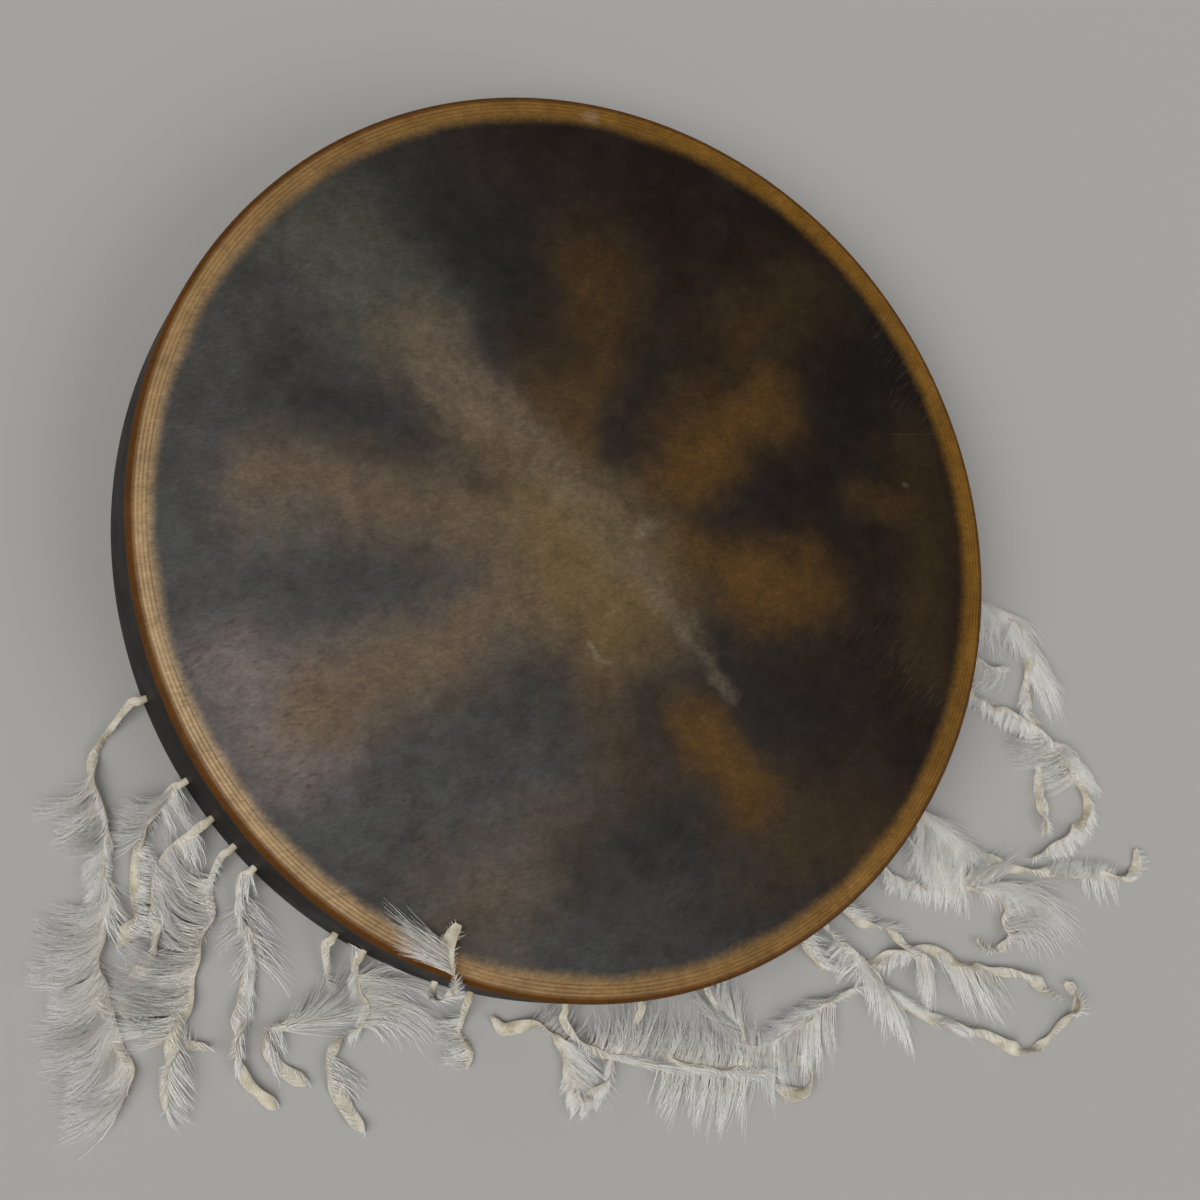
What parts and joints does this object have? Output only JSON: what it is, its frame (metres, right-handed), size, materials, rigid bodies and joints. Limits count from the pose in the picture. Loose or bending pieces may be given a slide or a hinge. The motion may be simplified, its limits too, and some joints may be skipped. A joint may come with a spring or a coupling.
{
  "type": "shaman drum",
  "caption": "Round frame drum: a dark hide head over a laminated wooden hoop, laced to a ring that is the grip at the back, with furred rawhide strips hanging from the hoop.",
  "frame": {"origin": "centre of the drum's back edge, on the floor that the drum lies on", "axes": "+Z along the drum's axis from the open back to the head; -Y towards the middle of the fringe; +X to the right when the head is seen with the fringe at the bottom"},
  "size_m": [0.6498, 0.5639, 0.0564],
  "materials": {
    "head_rawhide": "smoked rawhide, mottled brown and slate, translucent gold over the rim",
    "hoop_ash": "bent ash plies, oiled",
    "lace_rawhide": "twisted rawhide",
    "ring_iron": "forged, dark",
    "grip_leather": "sewn, worn",
    "fringe_rawhide": "cream goat rawhide with long white hair"
  },
  "bodies": {
    "root": {"head_hide": "head_rawhide", "tie_ring": "ring_iron", "thong_knots": "fringe_rawhide", "hoop_ply_1": "hoop_ash", "hoop_ply_2": "hoop_ash", "hoop_ply_3": "hoop_ash", "hoop_ply_4": "hoop_ash", "hoop_ply_5": "hoop_ash", "lace_1": "lace_rawhide", "lace_2": "lace_rawhide", "lace_3": "lace_rawhide", "lace_4": "lace_rawhide", "grip_sleeve_1": "grip_leather", "grip_sleeve_2": "grip_leather", "grip_sleeve_3": "grip_leather", "grip_sleeve_4": "grip_leather", "fringe_strip_1": "fringe_rawhide", "fringe_strip_2": "fringe_rawhide", "fringe_strip_3": "fringe_rawhide", "fringe_strip_4": "fringe_rawhide", "fringe_strip_5": "fringe_rawhide", "fringe_strip_6": "fringe_rawhide", "fringe_strip_7": "fringe_rawhide", "fringe_strip_8": "fringe_rawhide", "fringe_strip_9": "fringe_rawhide", "fringe_strip_10": "fringe_rawhide", "fringe_strip_11": "fringe_rawhide", "fringe_strip_12": "fringe_rawhide", "fringe_strip_13": "fringe_rawhide", "fringe_strip_14": "fringe_rawhide", "fringe_strip_15": "fringe_rawhide", "fringe_strip_16": "fringe_rawhide", "fringe_strip_17": "fringe_rawhide", "fringe_strip_18": "fringe_rawhide", "fringe_strip_19": "fringe_rawhide", "fringe_strip_20": "fringe_rawhide", "fringe_strip_21": "fringe_rawhide"}
  },
  "joints": []
}
